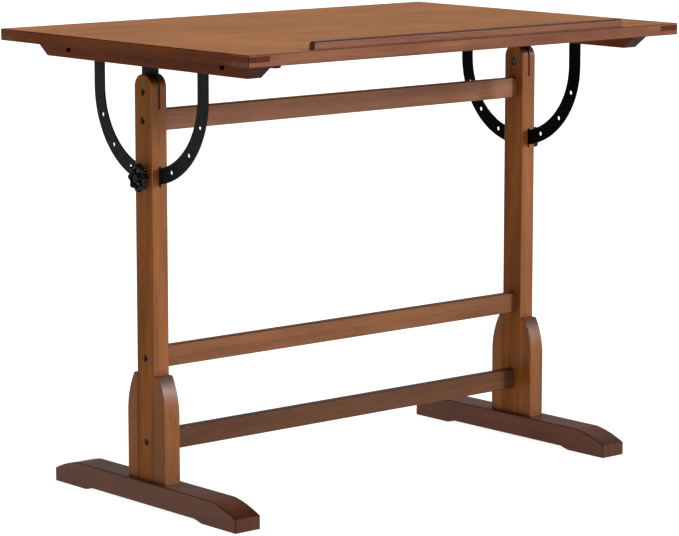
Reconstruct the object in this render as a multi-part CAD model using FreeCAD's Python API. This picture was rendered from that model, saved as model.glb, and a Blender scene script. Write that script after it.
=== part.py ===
"""Drafting table with a tilting top, a slide-up pencil ledge and two lock screws.

Millimetres. Origin on the floor under the centre of the level tabletop, +X to the right,
+Y to the back, +Z up. The top tilts about the X axis through the two pivot bolts. Legs and
steel are built for the right and mirrored for the left. Each batten lies to the left of its
arc, so battens and their screws are built for the left and copied to the right. The cleats
lie on the inner side of the steel on the left and of the batten on the right.
"""
import FreeCAD
import Part
import math
import os

Vector = FreeCAD.Vector
AXIS_X = Vector(1, 0, 0)
AXIS_Y = Vector(0, 1, 0)
AXIS_Z = Vector(0, 0, 1)

# Tabletop board: a core panel inside a solid edging
top_wide = 914.0
top_deep = 640.0
top_thick = 19.0
table_high = 740.0
edge_wide = 41.0
edge_round = 1.6
glue_gap = 0.05
groove_deep = 8.0
groove_thick = 6.0
bridle_thick = 8.5
bridle_drop = 3.0

# Pencil ledge, raised at rest, dropping into a pocket in the front edging
ledge_long = 660.0
ledge_thick = 12.0
ledge_high = 17.0
ledge_show = 13.2
ledge_drop = 12.0
ledge_wall = 3.0
ledge_slack = 0.3
ledge_corner = 6.0
ledge_groove_high = 1.8
ledge_groove_deep = 1.4
ledge_pin_thick = 5.0
ledge_pin_spread = 440.0
ledge_pin_grip = 8.0
ledge_pin_reach = 15.0
run_gap = 0.05

# Posts, set in from the ends of the top
post_inset = 57.5
post_thick = 29.5
post_wide = 44.8
post_forward = 5.0
post_over_pivot = 28.0
post_top_round = 20.0
pivot_drop = 81.5
wood_ease = 1.6

# Steel arcs and pivot plates that carry the top
plate_thick = 3.0
plate_wide = 40.0
plate_up = 0.82
arc_radius = 133.0
arc_wide = 25.0
arc_hole_thick = 7.5
arc_hole_step = 23.3
arc_hole_each_side = 3
slot_slack = 0.3
slot_drill = 0.6
pivot_slot_under = 3.5

# Battens, cleats and their screws under the top
batten_wide = 28.0
batten_high = 20.5
batten_front_gap = 13.0
batten_back_gap = 64.0
batten_bevel = 27.0
cleat_wide = 12.0
cleat_high = 5.0
cleat_gap = 1.0
screw_thick = 4.0
screw_head_thick = 8.0
screw_head_high = 2.4
long_screw_bite = 12.0
long_screw_places = (-250.0, -75.0, 65.0, 195.0)
long_screw_inset = 10.0
pocket_places = (-221.5, 171.5)
pocket_drop = 6.5
pocket_tilt = 25.0
pocket_deep = 8.0
pocket_thick = 9.0
pocket_stretch = 3.0
pocket_screw_long = 14.0
bracket_screw_long = 16.0
bracket_screw_half_gap = 7.0
plate_screw_half_gap = 12.0
cleat_screw_thick = 3.0
cleat_screw_bite = 7.0
cleat_screw_places = (-230.0, -40.0, 150.0)

# Feet and the cheeks that flank each post
foot_wide = 49.0
foot_long = 473.6
foot_high = 40.3
foot_end_high = 21.5
foot_flat_half = 175.0
foot_bulge = 2.6
foot_relief = 4.5
foot_relief_half = 134.0
foot_relief_slope = 18.0
cheek_top = 211.5
cheek_shoulder = 9.0
cheek_half = 49.0
cheek_turn = 148.0
cheek_bulge = 4.3

# Rails between the posts
rail_thick = 16.0
rail_high = 34.0
top_rail_level = 613.8
middle_rail_level = 237.5
bottom_rail_level = 102.3
top_rail_back = 1.5

# Bolts, barrel nuts, dowels and inserts of the frame
bolt_thick = 6.0
bolt_slack = 0.2
bolt_head_thick = 10.0
bolt_head_high = 5.5
bolt_socket = 5.0
bolt_socket_deep = 3.0
counterbore_slack = 0.5
counterbore_deep = 7.0
rail_bolt_bite = 40.0
barrel_thick = 10.0
barrel_long = 14.0
barrel_from_end = 33.0
dowel_thick = 8.0
dowel_half_long = 12.0
dowel_half_gap = 10.5
nut_flats = 10.0
nut_high = 5.0
nut_recess = 6.0
foot_bolt_place = 34.0
foot_bolt_bite = 15.0
foot_head_thick = 12.0
foot_insert_thick = 10.0
foot_insert_high = 14.0
post_dowel_thick = 10.0
post_dowel_half_long = 24.0
post_dowel_place = 11.0
cheek_dowel_levels = (78.0, 172.0)

# Lock screws with their handwheels
lock_stroke = 4.0
stud_thick = 8.0
tip_thick = 7.0
tip_chamfer = 0.8
tip_start_gap = 0.3
stud_step_gap = 0.3
socket_deep = 2.5
insert_thick = 12.0
insert_lip = 0.5
washer_thick = 1.6
washer_wide = 18.0
washer_park = 0.5
hub_gap = 0.3
hub_thick = 17.0
hub_long = 11.0
wheel_radius = 23.0
wheel_lobes = 8
lobe_radius = 5.0
rim_wide = 6.5
rim_high = 12.0
rim_set_back = -1.8
spoke_wide = 5.0
spoke_high = 4.0
spoke_count = 4

# Positions that follow from the sizes above
top_half = top_wide / 2
top_half_deep = top_deep / 2
board_under = table_high - top_thick
core_half = top_half - edge_wide
core_half_deep = top_half_deep - edge_wide
groove_low = board_under + (top_thick - groove_thick) / 2
bridle_high = table_high - bridle_drop
bridle_low = bridle_high - bridle_thick
post_x = top_half - post_inset
post_in = post_x - post_thick / 2
post_out = post_x + post_thick / 2
post_y = -post_forward
pivot_z = table_high - pivot_drop
post_top = pivot_z + post_over_pivot
plate_in = post_x - plate_thick / 2
plate_out = post_x + plate_thick / 2
slot_in = plate_in - slot_slack
slot_out = plate_out + slot_slack
arc_inner = arc_radius - arc_wide / 2
arc_outer = arc_radius + arc_wide / 2
lock_z = pivot_z - arc_radius
batten_under = board_under - batten_high
batten_front = -top_half_deep + batten_front_gap
batten_back = top_half_deep - batten_back_gap
batten_inner = -plate_out
batten_outer = batten_inner - batten_wide
side_step = 2 * post_x
bracket_top = batten_under + batten_high * plate_up
bracket_screw_z = batten_under + batten_high / 2
pocket_z = board_under - pocket_drop
ledge_front = -top_half_deep + ledge_wall
ledge_back = ledge_front + ledge_thick
ledge_top = table_high + ledge_show
ledge_under = ledge_top - ledge_high
ledge_mid_y = (ledge_front + ledge_back) / 2
pocket_floor = ledge_under - ledge_drop - ledge_slack
washer_in = post_out + lock_stroke + washer_park
washer_out = washer_in + washer_thick
hub_in = washer_out + hub_gap
hub_out = hub_in + hub_long
counterbore_radius = bolt_head_thick / 2 + counterbore_slack


def box(x0, x1, y0, y1, z0, z1):
    """Box between two corners."""
    return Part.makeBox(x1 - x0, y1 - y0, z1 - z0, Vector(x0, y0, z0))


def rod(radius, length, start, axis):
    """Cylinder from a start point along an axis."""
    return Part.makeCylinder(radius, length, Vector(*start), axis)


def hexagon(flats, length, start, axis_x_angle=0.0):
    """Hexagonal bar along X."""
    corner = flats / math.sqrt(3)
    points = []
    for index in range(7):
        angle = math.radians(60 * index + axis_x_angle)
        y = start[1] + corner * math.cos(angle)
        z = start[2] + corner * math.sin(angle)
        points.append(Vector(start[0], y, z))
    face = Part.Face(Part.makePolygon(points))
    return face.extrude(Vector(length, 0, 0))


def slab(edges, x0, x1):
    """Outline edges in the YZ plane at x0, extruded to x1."""
    face = Part.Face(Part.Wire(Part.__sortEdges__(edges)))
    return face.extrude(Vector(x1 - x0, 0, 0))


def line(x, first, last):
    """Straight outline edge between two (y, z) points."""
    return Part.makeLine(Vector(x, *first), Vector(x, *last))


def bow(x, first, last, bulge):
    """Arc outline edge between two (y, z) points, bulging to the left of its way."""
    middle_y = (first[0] + last[0]) / 2
    middle_z = (first[1] + last[1]) / 2
    run_y = last[0] - first[0]
    run_z = last[1] - first[1]
    length = math.hypot(run_y, run_z)
    through = Vector(x, middle_y - run_z / length * bulge, middle_z + run_y / length * bulge)
    return Part.Arc(Vector(x, *first), through, Vector(x, *last)).toShape()


def flat_in_x(edge):
    """True for an edge that lies in a plane square to X."""
    return edge.BoundBox.XLength < 1e-4


def eased(shape, radius, wanted):
    """Round the edges that pass a test."""
    edges = [edge for edge in shape.Edges if wanted(edge)]
    return shape.makeFillet(radius, edges)


def mirrored(shape):
    """Left-hand copy of a right-hand shape."""
    return shape.mirror(Vector(0, 0, 0), AXIS_X)


def save(name, shapes):
    """Write one node as one STEP file."""
    shape = shapes[0] if len(shapes) == 1 else Part.makeCompound(shapes)
    shape.exportStep("parts/" + name + ".step")


def copied(shape):
    """Right-hand copy of a left-hand shape, moved across without mirroring."""
    return shape.translated(Vector(side_step, 0, 0))


def inboard(shape):
    """Right-hand place of a left-hand cleat or its screw: mirrored and moved past the batten."""
    return mirrored(shape).translated(Vector(-batten_wide, 0, 0))


def save_pair(name, shape):
    """Write a right-hand node and its left-hand mirror."""
    save("right_" + name, [shape])
    save("left_" + name, [mirrored(shape)])


def save_copies(name, shape):
    """Write a left-hand node and its right-hand copy."""
    save("left_" + name, [shape])
    save("right_" + name, [copied(shape)])


def with_copies(shapes):
    """Left-hand shapes and their right-hand copies."""
    return shapes + [copied(shape) for shape in shapes]


def both_sides(shapes):
    """Right-hand shapes and their mirrors."""
    return shapes + [mirrored(shape) for shape in shapes]


# ---- tabletop -------------------------------------------------------------------------

def board_blank():
    """Whole tabletop board with its outer edges rounded."""
    blank = box(-top_half, top_half, -top_half_deep, top_half_deep, board_under, table_high)
    return blank.makeFillet(edge_round, blank.Edges)


def make_top_panel():
    """Core panel with a tongue on all four sides."""
    reach = groove_deep - glue_gap
    low = groove_low + glue_gap
    high = groove_low + groove_thick - glue_gap
    core = box(-core_half, core_half, -core_half_deep, core_half_deep, board_under, table_high)
    sides = box(-core_half - reach, core_half + reach, -core_half_deep, core_half_deep, low, high)
    ends = box(-core_half, core_half, -core_half_deep - reach, core_half_deep + reach, low, high)
    panel = core.fuse([sides, ends])
    for screw in with_copies(long_screw_tools() + pocket_screw_tools(False)) + all_cleat_screws():
        panel = panel.cut(screw)
    return panel


def end_edging(side):
    """Front or back edging: full length, with forked ends for the side edging."""
    inner = core_half_deep * side
    outer = top_half_deep * side
    region = box(-top_half, top_half, min(inner, outer), max(inner, outer), board_under, table_high)
    edging = board_blank().common(region)
    groove_end = inner + groove_deep * side
    low = min(inner, groove_end)
    high = max(inner, groove_end)
    groove = box(-core_half, core_half, low, high, groove_low, groove_low + groove_thick)
    edging = edging.cut(groove)
    low = bridle_low - glue_gap
    high = bridle_high + glue_gap
    for end in (-1, 1):
        x0 = min(end * core_half, end * (top_half + 1))
        x1 = max(end * core_half, end * (top_half + 1))
        y0 = min(inner, outer) - 1
        y1 = max(inner, outer) + 1
        edging = edging.cut(box(x0, x1, y0, y1, low, high))
    return edging


def ledge_pin_x():
    """The two places of the ledge's guide pins."""
    return (-ledge_pin_spread / 2, ledge_pin_spread / 2)


def make_front_edging():
    """Front edging with the ledge's pocket and its guide holes."""
    edging = end_edging(-1)
    half = ledge_long / 2 + ledge_slack
    front = ledge_front - ledge_slack
    back = ledge_back + ledge_slack
    edging = edging.cut(box(-half, half, front, back, pocket_floor, table_high + 1))
    for x in ledge_pin_x():
        start = (x, ledge_mid_y, board_under - 1)
        edging = edging.cut(rod(ledge_pin_thick / 2 + run_gap, top_thick, start, AXIS_Z))
    return edging


def make_side_edging():
    """Right edging with a groove for the panel and a tongue at each end."""
    region = box(core_half, top_half, -core_half_deep, core_half_deep, board_under, table_high)
    region = region.fuse(box(core_half, top_half, -top_half_deep, top_half_deep, bridle_low, bridle_high))
    edging = board_blank().common(region)
    x1 = core_half + groove_deep
    z1 = groove_low + groove_thick
    return edging.cut(box(core_half, x1, -core_half_deep, core_half_deep, groove_low, z1))


def make_left_edging():
    """Left edging: the right one's mirror, with the tips of the left pocket screws."""
    edging = mirrored(make_side_edging())
    for screw in pocket_screw_tools(False):
        edging = edging.cut(screw)
    return edging


def make_pencil_ledge():
    """Ledge with a rounded top, rounded top corners and a shadow groove along its foot."""
    half = ledge_long / 2
    ledge = box(-half, half, ledge_front, ledge_back, ledge_under, ledge_top)

    def is_corner(edge):
        return edge.BoundBox.YLength > 1 and edge.BoundBox.ZMin > ledge_top - 0.01

    ledge = eased(ledge, ledge_corner, is_corner)

    def is_crown(edge):
        return edge.BoundBox.YLength < 0.01 and edge.BoundBox.ZMax > ledge_top - ledge_corner - 0.01

    ledge = eased(ledge, ledge_thick * 0.28, lambda edge: is_crown(edge) and edge.BoundBox.XLength > 0.1)
    low = table_high + run_gap
    groove_back = ledge_front + ledge_groove_deep
    ledge = ledge.cut(box(-half - 1, half + 1, ledge_front - 1, groove_back, low, low + ledge_groove_high))
    for x in ledge_pin_x():
        start = (x, ledge_mid_y, ledge_under)
        ledge = ledge.cut(rod(ledge_pin_thick / 2, ledge_pin_grip, start, AXIS_Z))
    return ledge


def make_ledge_pins():
    """Guide pins pressed into the ledge and running in the edging."""
    pins = []
    for x in ledge_pin_x():
        start = (x, ledge_mid_y, ledge_under - ledge_pin_reach)
        pins.append(rod(ledge_pin_thick / 2, ledge_pin_reach + ledge_pin_grip, start, AXIS_Z))
    return pins


# ---- battens, arcs and plates ----------------------------------------------------------

def make_batten():
    """Left batten with bevelled ends and holes for its screws."""
    points = [
        (batten_front, board_under),
        (batten_back, board_under),
        (batten_back - batten_bevel, batten_under),
        (batten_front + batten_bevel, batten_under),
    ]
    edges = []
    for index in range(4):
        edges.append(line(batten_outer, points[index], points[(index + 1) % 4]))
    batten = slab(edges, batten_outer, batten_inner)
    batten = eased(batten, wood_ease, lambda edge: edge.BoundBox.ZMax < board_under - 0.01)
    tools = long_screw_tools() + pocket_screw_tools(True) + bracket_screw_tools()
    for tool in tools:
        batten = batten.cut(tool)
    return batten


def make_cleat():
    """Thin left cleat on the other side of the steel."""
    x0 = -plate_in + cleat_gap
    x1 = x0 + cleat_wide
    cleat = box(x0, x1, batten_front, batten_back, board_under - cleat_high, board_under)
    cleat = eased(cleat, wood_ease, lambda edge: edge.BoundBox.ZMax < board_under - cleat_high + 0.01)
    for screw in cleat_screw_tools():
        cleat = cleat.cut(screw)
    return cleat


def pointed_screw(thick, head_thick, head_high, length, start, axis):
    """Countersunk screw: cone head and plain shank."""
    head = Part.makeCone(head_thick / 2, thick / 2, head_high, Vector(*start), axis)
    shank = rod(thick / 2, length, start, axis)
    return head.fuse(shank)


def long_screw_tools():
    """Screws up through the batten into the core panel."""
    x = batten_inner - long_screw_inset
    length = batten_high + long_screw_bite
    tools = []
    for y in long_screw_places:
        start = (x, y, batten_under)
        tools.append(pointed_screw(screw_thick, screw_head_thick, screw_head_high, length, start, AXIS_Z))
    return tools


def cleat_screw_tools():
    """Screws up through the cleat into the core panel."""
    x = -plate_in + cleat_gap + cleat_wide / 2
    length = cleat_high + cleat_screw_bite
    thick = cleat_screw_thick
    tools = []
    for y in cleat_screw_places:
        start = (x, y, board_under - cleat_high)
        tools.append(pointed_screw(thick, thick * 2, cleat_high * 0.4, length, start, AXIS_Z))
    return tools


def all_cleat_screws():
    """Cleat screws of both sides."""
    screws = cleat_screw_tools()
    return screws + [inboard(screw) for screw in screws]


def pocket_screw_tools(with_pocket):
    """Slanted screws into the board, with or without the pockets they start from."""
    slant = math.radians(pocket_tilt)
    axis = Vector(math.cos(slant), 0, math.sin(slant))
    tools = []
    for y in pocket_places:
        mouth = Vector(batten_outer, y, pocket_z)
        seat = mouth + axis * pocket_deep
        head = rod(screw_head_thick / 2, screw_head_high, seat - axis * screw_head_high, axis)
        shank = rod(screw_thick / 2, pocket_screw_long, seat, axis)
        screw = head.fuse(shank)
        if with_pocket:
            for side in (-1, 1):
                start = mouth - axis * pocket_deep + AXIS_Y * side * pocket_stretch / 2
                screw = screw.fuse(rod(pocket_thick / 2, pocket_deep * 2, start, axis))
        tools.append(screw)
    return tools


def bracket_screw_places():
    """Places of the screws that hold the arc and the plate to the batten."""
    places = []
    for limb in (-arc_radius, arc_radius):
        for offset in (-bracket_screw_half_gap, bracket_screw_half_gap):
            places.append(post_y + limb + offset)
    for offset in (-plate_screw_half_gap, plate_screw_half_gap):
        places.append(post_y + offset)
    return places


def bracket_screw_tools():
    """Pan-head screws through the left-hand steel into the batten's inner face."""
    tools = []
    for y in bracket_screw_places():
        shank_start = (-plate_in - plate_thick - bracket_screw_long, y, bracket_screw_z)
        shank = rod(screw_thick / 2, plate_thick + bracket_screw_long, shank_start, AXIS_X)
        head = rod(screw_head_thick / 2, screw_head_high, (-plate_in, y, bracket_screw_z), AXIS_X)
        crown = -plate_in + screw_head_high
        head = eased(head, screw_head_high * 0.6, lambda edge: edge.BoundBox.XMin > crown - 0.01)
        tools.append(shank.fuse(head))
    return tools


def make_arc():
    """Right arc: half ring with straight limbs and a row of index holes."""
    center = (plate_in, post_y, pivot_z)
    ring = rod(arc_outer, plate_thick, center, AXIS_X).cut(rod(arc_inner, plate_thick, center, AXIS_X))
    above = box(plate_in - 1, plate_out + 1, post_y - arc_outer - 1, post_y + arc_outer + 1,
                pivot_z, pivot_z + arc_outer + 1)
    arc = ring.cut(above)
    for low in (post_y - arc_outer, post_y + arc_inner):
        arc = arc.fuse(box(plate_in, plate_out, low, low + arc_wide, pivot_z, bracket_top))
    for step in range(-arc_hole_each_side, arc_hole_each_side + 1):
        angle = math.radians(arc_hole_step * step)
        y = post_y + arc_radius * math.sin(angle)
        z = pivot_z - arc_radius * math.cos(angle)
        arc = arc.cut(rod(arc_hole_thick / 2, plate_thick + 2, (plate_in - 1, y, z), AXIS_X))
    for tool in bracket_screw_tools()[:4]:
        arc = arc.cut(copied(tool))
    return arc.removeSplitter()


def make_pivot_plate():
    """Right pivot plate, rounded about the pivot bolt."""
    half = plate_wide / 2
    plate = rod(half, plate_thick, (plate_in, post_y, pivot_z), AXIS_X)
    plate = plate.fuse(box(plate_in, plate_out, post_y - half, post_y + half, pivot_z, bracket_top))
    hole = rod(bolt_thick / 2 + run_gap, plate_thick + 2, (plate_in - 1, post_y, pivot_z), AXIS_X)
    plate = plate.cut(hole)
    for tool in bracket_screw_tools()[4:]:
        plate = plate.cut(copied(tool))
    return plate.removeSplitter()


# ---- frame -----------------------------------------------------------------------------

def slot_cut(z0, z1, drill):
    """Slot along Y through the post, with its two ends drilled wider by a drill margin."""
    y0 = post_y - post_wide / 2 - 1
    length = post_wide + 2
    slot = box(slot_in, slot_out, y0, y0 + length, z0, z1)
    for z in (z0, z1):
        slot = slot.fuse(rod((slot_out - slot_in) / 2 + drill, length, (post_x, y0, z), AXIS_Y))
    return slot


def outer_bolt_hole(y, z, length):
    """Counterbored hole from the post's outer face."""
    hole = rod(bolt_thick / 2 + bolt_slack, length, (post_out - length, y, z), AXIS_X)
    bore = rod(counterbore_radius, counterbore_deep + 1, (post_out - counterbore_deep, y, z), AXIS_X)
    return hole.fuse(bore)


def make_post():
    """Right post with rounded top, pivot slot, arc slot and bolt holes."""
    y0 = post_y - post_wide / 2
    y1 = post_y + post_wide / 2
    r = post_top_round
    k = r * (1 - math.sqrt(0.5))
    x = post_in
    edges = [
        line(x, (y0, foot_high), (y1, foot_high)),
        line(x, (y1, foot_high), (y1, post_top - r)),
        Part.Arc(Vector(x, y1, post_top - r), Vector(x, y1 - k, post_top - k), Vector(x, y1 - r, post_top)).toShape(),
        line(x, (y1 - r, post_top), (y0 + r, post_top)),
        Part.Arc(Vector(x, y0 + r, post_top), Vector(x, y0 + k, post_top - k), Vector(x, y0, post_top - r)).toShape(),
        line(x, (y0, post_top - r), (y0, foot_high)),
    ]
    post = slab(edges, post_in, post_out)
    post = eased(post, wood_ease, lambda edge: flat_in_x(edge) and edge.BoundBox.ZMax > foot_high + 1)
    slot_low = pivot_z - plate_wide / 2 - pivot_slot_under
    post = post.cut(slot_cut(slot_low, post_top + 10, 0.0))
    half = post_wide / 2
    arc_low = pivot_z - arc_outer - slot_slack * 2
    arc_high = pivot_z - math.sqrt(arc_inner ** 2 - half ** 2) + slot_slack * 2
    post = post.cut(slot_cut(arc_low, arc_high, slot_drill))
    for tool in rail_bolt_holes() + rail_dowel_tools() + post_dowel_tools() + cheek_dowel_tools():
        post = post.cut(tool)
    post = post.cut(outer_bolt_hole(post_y, pivot_z, post_thick + 1))
    recess = rod(nut_flats * 0.6 + counterbore_slack, nut_recess, (post_in, post_y, pivot_z), AXIS_X)
    post = post.cut(recess)
    start = (slot_out + insert_lip, post_y, lock_z)
    post = post.cut(rod(insert_thick / 2, post_out - start[0], start, AXIS_X))
    start = (slot_out - 1, post_y, lock_z)
    post = post.cut(rod(stud_thick / 2 + run_gap, 3, start, AXIS_X))
    start = (slot_in - socket_deep, post_y, lock_z)
    return post.cut(rod(arc_hole_thick / 2, socket_deep + 1, start, AXIS_X))


def make_cheek(side):
    """Front (-1) or back (1) cheek glued to the right post."""
    inner = post_wide / 2
    x = post_in
    points = [
        (post_y + side * inner, foot_high),
        (post_y + side * inner, cheek_top),
        (post_y + side * (inner + cheek_shoulder), cheek_top),
        (post_y + side * cheek_half, cheek_turn),
        (post_y + side * cheek_half, foot_high),
    ]
    edges = [
        line(x, points[0], points[1]),
        line(x, points[1], points[2]),
        bow(x, points[2], points[3], cheek_bulge * side),
        line(x, points[3], points[4]),
        line(x, points[4], points[0]),
    ]
    cheek = slab(edges, post_in, post_out)
    glue_face = points[0][0]

    def outer_edge(edge):
        bounds = edge.BoundBox
        on_glue = abs(bounds.YMin - glue_face) < 0.01 and abs(bounds.YMax - glue_face) < 0.01
        return flat_in_x(edge) and not on_glue and bounds.ZMax > foot_high + 0.1

    cheek = eased(cheek, wood_ease, outer_edge)
    tools = cheek_dowel_tools()
    tools.append(foot_insert(side))
    tools.append(foot_bolt(side))
    for tool in tools:
        cheek = cheek.cut(tool)
    return cheek


def make_foot():
    """Right foot with sloping ends and a relieved underside."""
    half = foot_long / 2
    x = post_x - foot_wide / 2
    relief_out = foot_relief_half + foot_relief_slope
    upper = [
        (-half, 0),
        (-half, foot_end_high),
        (-foot_flat_half, foot_high),
        (foot_flat_half, foot_high),
        (half, foot_end_high),
        (half, 0),
    ]
    lower = [
        (relief_out, 0),
        (foot_relief_half, foot_relief),
        (-foot_relief_half, foot_relief),
        (-relief_out, 0),
    ]
    points = [(post_y + point[0], point[1]) for point in upper + lower]
    edges = []
    for index in range(len(points)):
        first = points[index]
        last = points[(index + 1) % len(points)]
        if index in (1, 3):
            edges.append(bow(x, first, last, foot_bulge))
        else:
            edges.append(line(x, first, last))
    foot = slab(edges, x, x + foot_wide)
    foot = eased(foot, wood_ease, lambda edge: flat_in_x(edge) and edge.BoundBox.ZMax > foot_relief + 1)
    head_slack = foot_head_thick / 2 + counterbore_slack * 2
    for side in (-1, 1):
        y = post_y + side * foot_bolt_place
        foot = foot.cut(rod(bolt_thick / 2 + bolt_slack, foot_high + 2, (post_x, y, -1), AXIS_Z))
        foot = foot.cut(rod(head_slack, foot_relief + 9, (post_x, y, -1), AXIS_Z))
    for tool in post_dowel_tools():
        foot = foot.cut(tool)
    return foot


def foot_bolt(side):
    """Bolt up through the foot into a cheek."""
    y = post_y + side * foot_bolt_place
    seat = foot_relief + 8
    shank = rod(bolt_thick / 2, foot_high + foot_bolt_bite - seat, (post_x, y, seat), AXIS_Z)
    head = rod(foot_head_thick / 2, bolt_head_high, (post_x, y, seat - bolt_head_high), AXIS_Z)
    socket = rod(bolt_socket / 2, bolt_socket_deep, (post_x, y, seat - bolt_head_high), AXIS_Z)
    return head.fuse(shank).cut(socket)


def foot_insert(side):
    """Solid of the threaded insert that takes a foot bolt."""
    y = post_y + side * foot_bolt_place
    return rod(foot_insert_thick / 2, foot_insert_high, (post_x, y, foot_high), AXIS_Z)


def post_dowel_tools():
    """Dowels between the post's end and the foot."""
    tools = []
    for side in (-1, 1):
        y = post_y + side * post_dowel_place
        start = (post_x, y, foot_high - post_dowel_half_long)
        tools.append(rod(post_dowel_thick / 2, post_dowel_half_long * 2, start, AXIS_Z))
    return tools


def cheek_dowel_tools():
    """Dowels between the post and its cheeks."""
    tools = []
    for side in (-1, 1):
        y = post_y + side * post_wide / 2 - dowel_half_long
        for z in cheek_dowel_levels:
            tools.append(rod(dowel_thick / 2, dowel_half_long * 2, (post_x, y, z), AXIS_Y))
    return tools


def rail_places():
    """Centre (y, z) of the three rails, top first."""
    return [
        (post_y + top_rail_back, top_rail_level),
        (post_y, middle_rail_level),
        (post_y, bottom_rail_level),
    ]


def rail_bolt_holes():
    """Counterbored holes for the rail bolts in the right post."""
    return [outer_bolt_hole(y, z, post_thick + 1) for y, z in rail_places()]


def rail_dowel(y, z):
    """Dowel between a rail's end and the right post."""
    return rod(dowel_thick / 2, dowel_half_long * 2, (post_in - dowel_half_long, y, z), AXIS_X)


def rail_dowel_tools():
    """All rail dowels on the right side."""
    tools = []
    for y, z in rail_places():
        tools.append(rail_dowel(y, z - dowel_half_gap))
        tools.append(rail_dowel(y, z + dowel_half_gap))
    return tools


def rail_bolt(y, z):
    """Socket-head bolt through the right post into a rail."""
    seat = post_out - counterbore_deep
    length = seat - post_in + rail_bolt_bite
    shank = rod(bolt_thick / 2, length, (seat - length, y, z), AXIS_X)
    head = rod(bolt_head_thick / 2, bolt_head_high, (seat, y, z), AXIS_X)
    start = (seat + bolt_head_high - bolt_socket_deep, y, z)
    return head.fuse(shank).cut(hexagon(bolt_socket, bolt_socket_deep + 1, start))


def barrel_nut(y, z):
    """Solid of the barrel nut across a rail."""
    x = post_in - barrel_from_end
    return rod(barrel_thick / 2, barrel_long, (x, y, z - barrel_long / 2), AXIS_Z)


def make_rail(y, z):
    """Rail between the posts with its bolt, nut and dowel holes."""
    y0 = y - rail_thick / 2
    z0 = z - rail_high / 2
    rail = box(-post_in, post_in, y0, y0 + rail_thick, z0, z0 + rail_high)
    rail = eased(rail, wood_ease, lambda edge: edge.BoundBox.XLength > 1)
    depth = rail_bolt_bite + 2
    hole = rod(bolt_thick / 2 + bolt_slack, depth, (post_in - depth, y, z), AXIS_X)
    x = post_in - barrel_from_end
    nut = rod(barrel_thick / 2, z + barrel_long / 2 - z0, (x, y, z0), AXIS_Z)
    tools = [hole, nut, rail_dowel(y, z - dowel_half_gap), rail_dowel(y, z + dowel_half_gap)]
    for tool in both_sides(tools):
        rail = rail.cut(tool)
    return rail


def make_barrel_nuts():
    """Barrel nuts with their cross holes, right side."""
    nuts = []
    for y, z in rail_places():
        start = (post_in - barrel_from_end - barrel_thick, y, z)
        cross = rod(bolt_thick / 2, barrel_thick * 2, start, AXIS_X)
        nuts.append(barrel_nut(y, z).cut(cross))
    return nuts


def make_pivot_bolt():
    """Socket-head pivot bolt through the right post and plate."""
    seat = post_out - counterbore_deep
    end = post_in + (nut_recess - nut_high) / 2
    shank = rod(bolt_thick / 2, seat - end, (end, post_y, pivot_z), AXIS_X)
    head = rod(bolt_head_thick / 2, bolt_head_high, (seat, post_y, pivot_z), AXIS_X)
    start = (seat + bolt_head_high - bolt_socket_deep, post_y, pivot_z)
    return head.fuse(shank).cut(hexagon(bolt_socket, bolt_socket_deep + 1, start))


def make_pivot_nut():
    """Hexagon nut sunk in the post's inner face."""
    start = (post_in + nut_recess - nut_high, post_y, pivot_z)
    nut = hexagon(nut_flats, nut_high, start)
    return nut.cut(rod(bolt_thick / 2, nut_high + 2, (start[0] - 1, post_y, pivot_z), AXIS_X))


# ---- lock screws -----------------------------------------------------------------------

def make_lock_insert():
    """Threaded insert in the post's outer face."""
    start = (slot_out + insert_lip, post_y, lock_z)
    length = post_out - start[0]
    insert = rod(insert_thick / 2, length, start, AXIS_X)
    return insert.cut(rod(stud_thick / 2 + run_gap, length + 2, (start[0] - 1, post_y, lock_z), AXIS_X))


def make_lock_stud():
    """Lock stud with a plain tip that enters the arc's holes."""
    tip_start = plate_out + tip_start_gap
    step = plate_out + lock_stroke + stud_step_gap
    tip = rod(tip_thick / 2, step - tip_start, (tip_start, post_y, lock_z), AXIS_X)
    tip = tip.makeChamfer(tip_chamfer, [edge for edge in tip.Edges if edge.BoundBox.XMax < tip_start + 0.01])
    body = rod(stud_thick / 2, hub_out - step, (step, post_y, lock_z), AXIS_X)
    return tip.fuse(body)


def make_lock_washer():
    """Captive thrust washer between the handwheel and the post."""
    start = (washer_in, post_y, lock_z)
    washer = rod(washer_wide / 2, washer_thick, start, AXIS_X)
    return washer.cut(rod(stud_thick / 2 + run_gap, washer_thick + 2, (washer_in - 1, post_y, lock_z), AXIS_X))


def make_handwheel():
    """Lobed handwheel with hub and spokes."""
    rim_in = hub_in + rim_set_back
    center = wheel_radius - lobe_radius
    outer = rod(center + rim_wide * 0.25, rim_high, (rim_in, post_y, lock_z), AXIS_X)
    for index in range(wheel_lobes):
        angle = 2 * math.pi * index / wheel_lobes
        y = post_y + center * math.cos(angle)
        z = lock_z + center * math.sin(angle)
        outer = outer.fuse(rod(lobe_radius, rim_high, (rim_in, y, z), AXIS_X))
    rim = outer.cut(rod(center - rim_wide / 2, rim_high + 2, (rim_in - 1, post_y, lock_z), AXIS_X))
    wheel = rim.fuse(rod(hub_thick / 2, hub_long, (hub_in, post_y, lock_z), AXIS_X))
    spoke_in = rim_in + (rim_high - spoke_high) / 2
    for index in range(spoke_count):
        spoke = box(spoke_in, spoke_in + spoke_high, post_y, post_y + center,
                    lock_z - spoke_wide / 2, lock_z + spoke_wide / 2)
        spoke.rotate(Vector(0, post_y, lock_z), AXIS_X, 360 * index / spoke_count)
        wheel = wheel.fuse(spoke)
    bore = rod(stud_thick / 2, hub_long + 2, (hub_in - 1, post_y, lock_z), AXIS_X)
    return wheel.cut(bore).removeSplitter()


# ---- build -----------------------------------------------------------------------------

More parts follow.
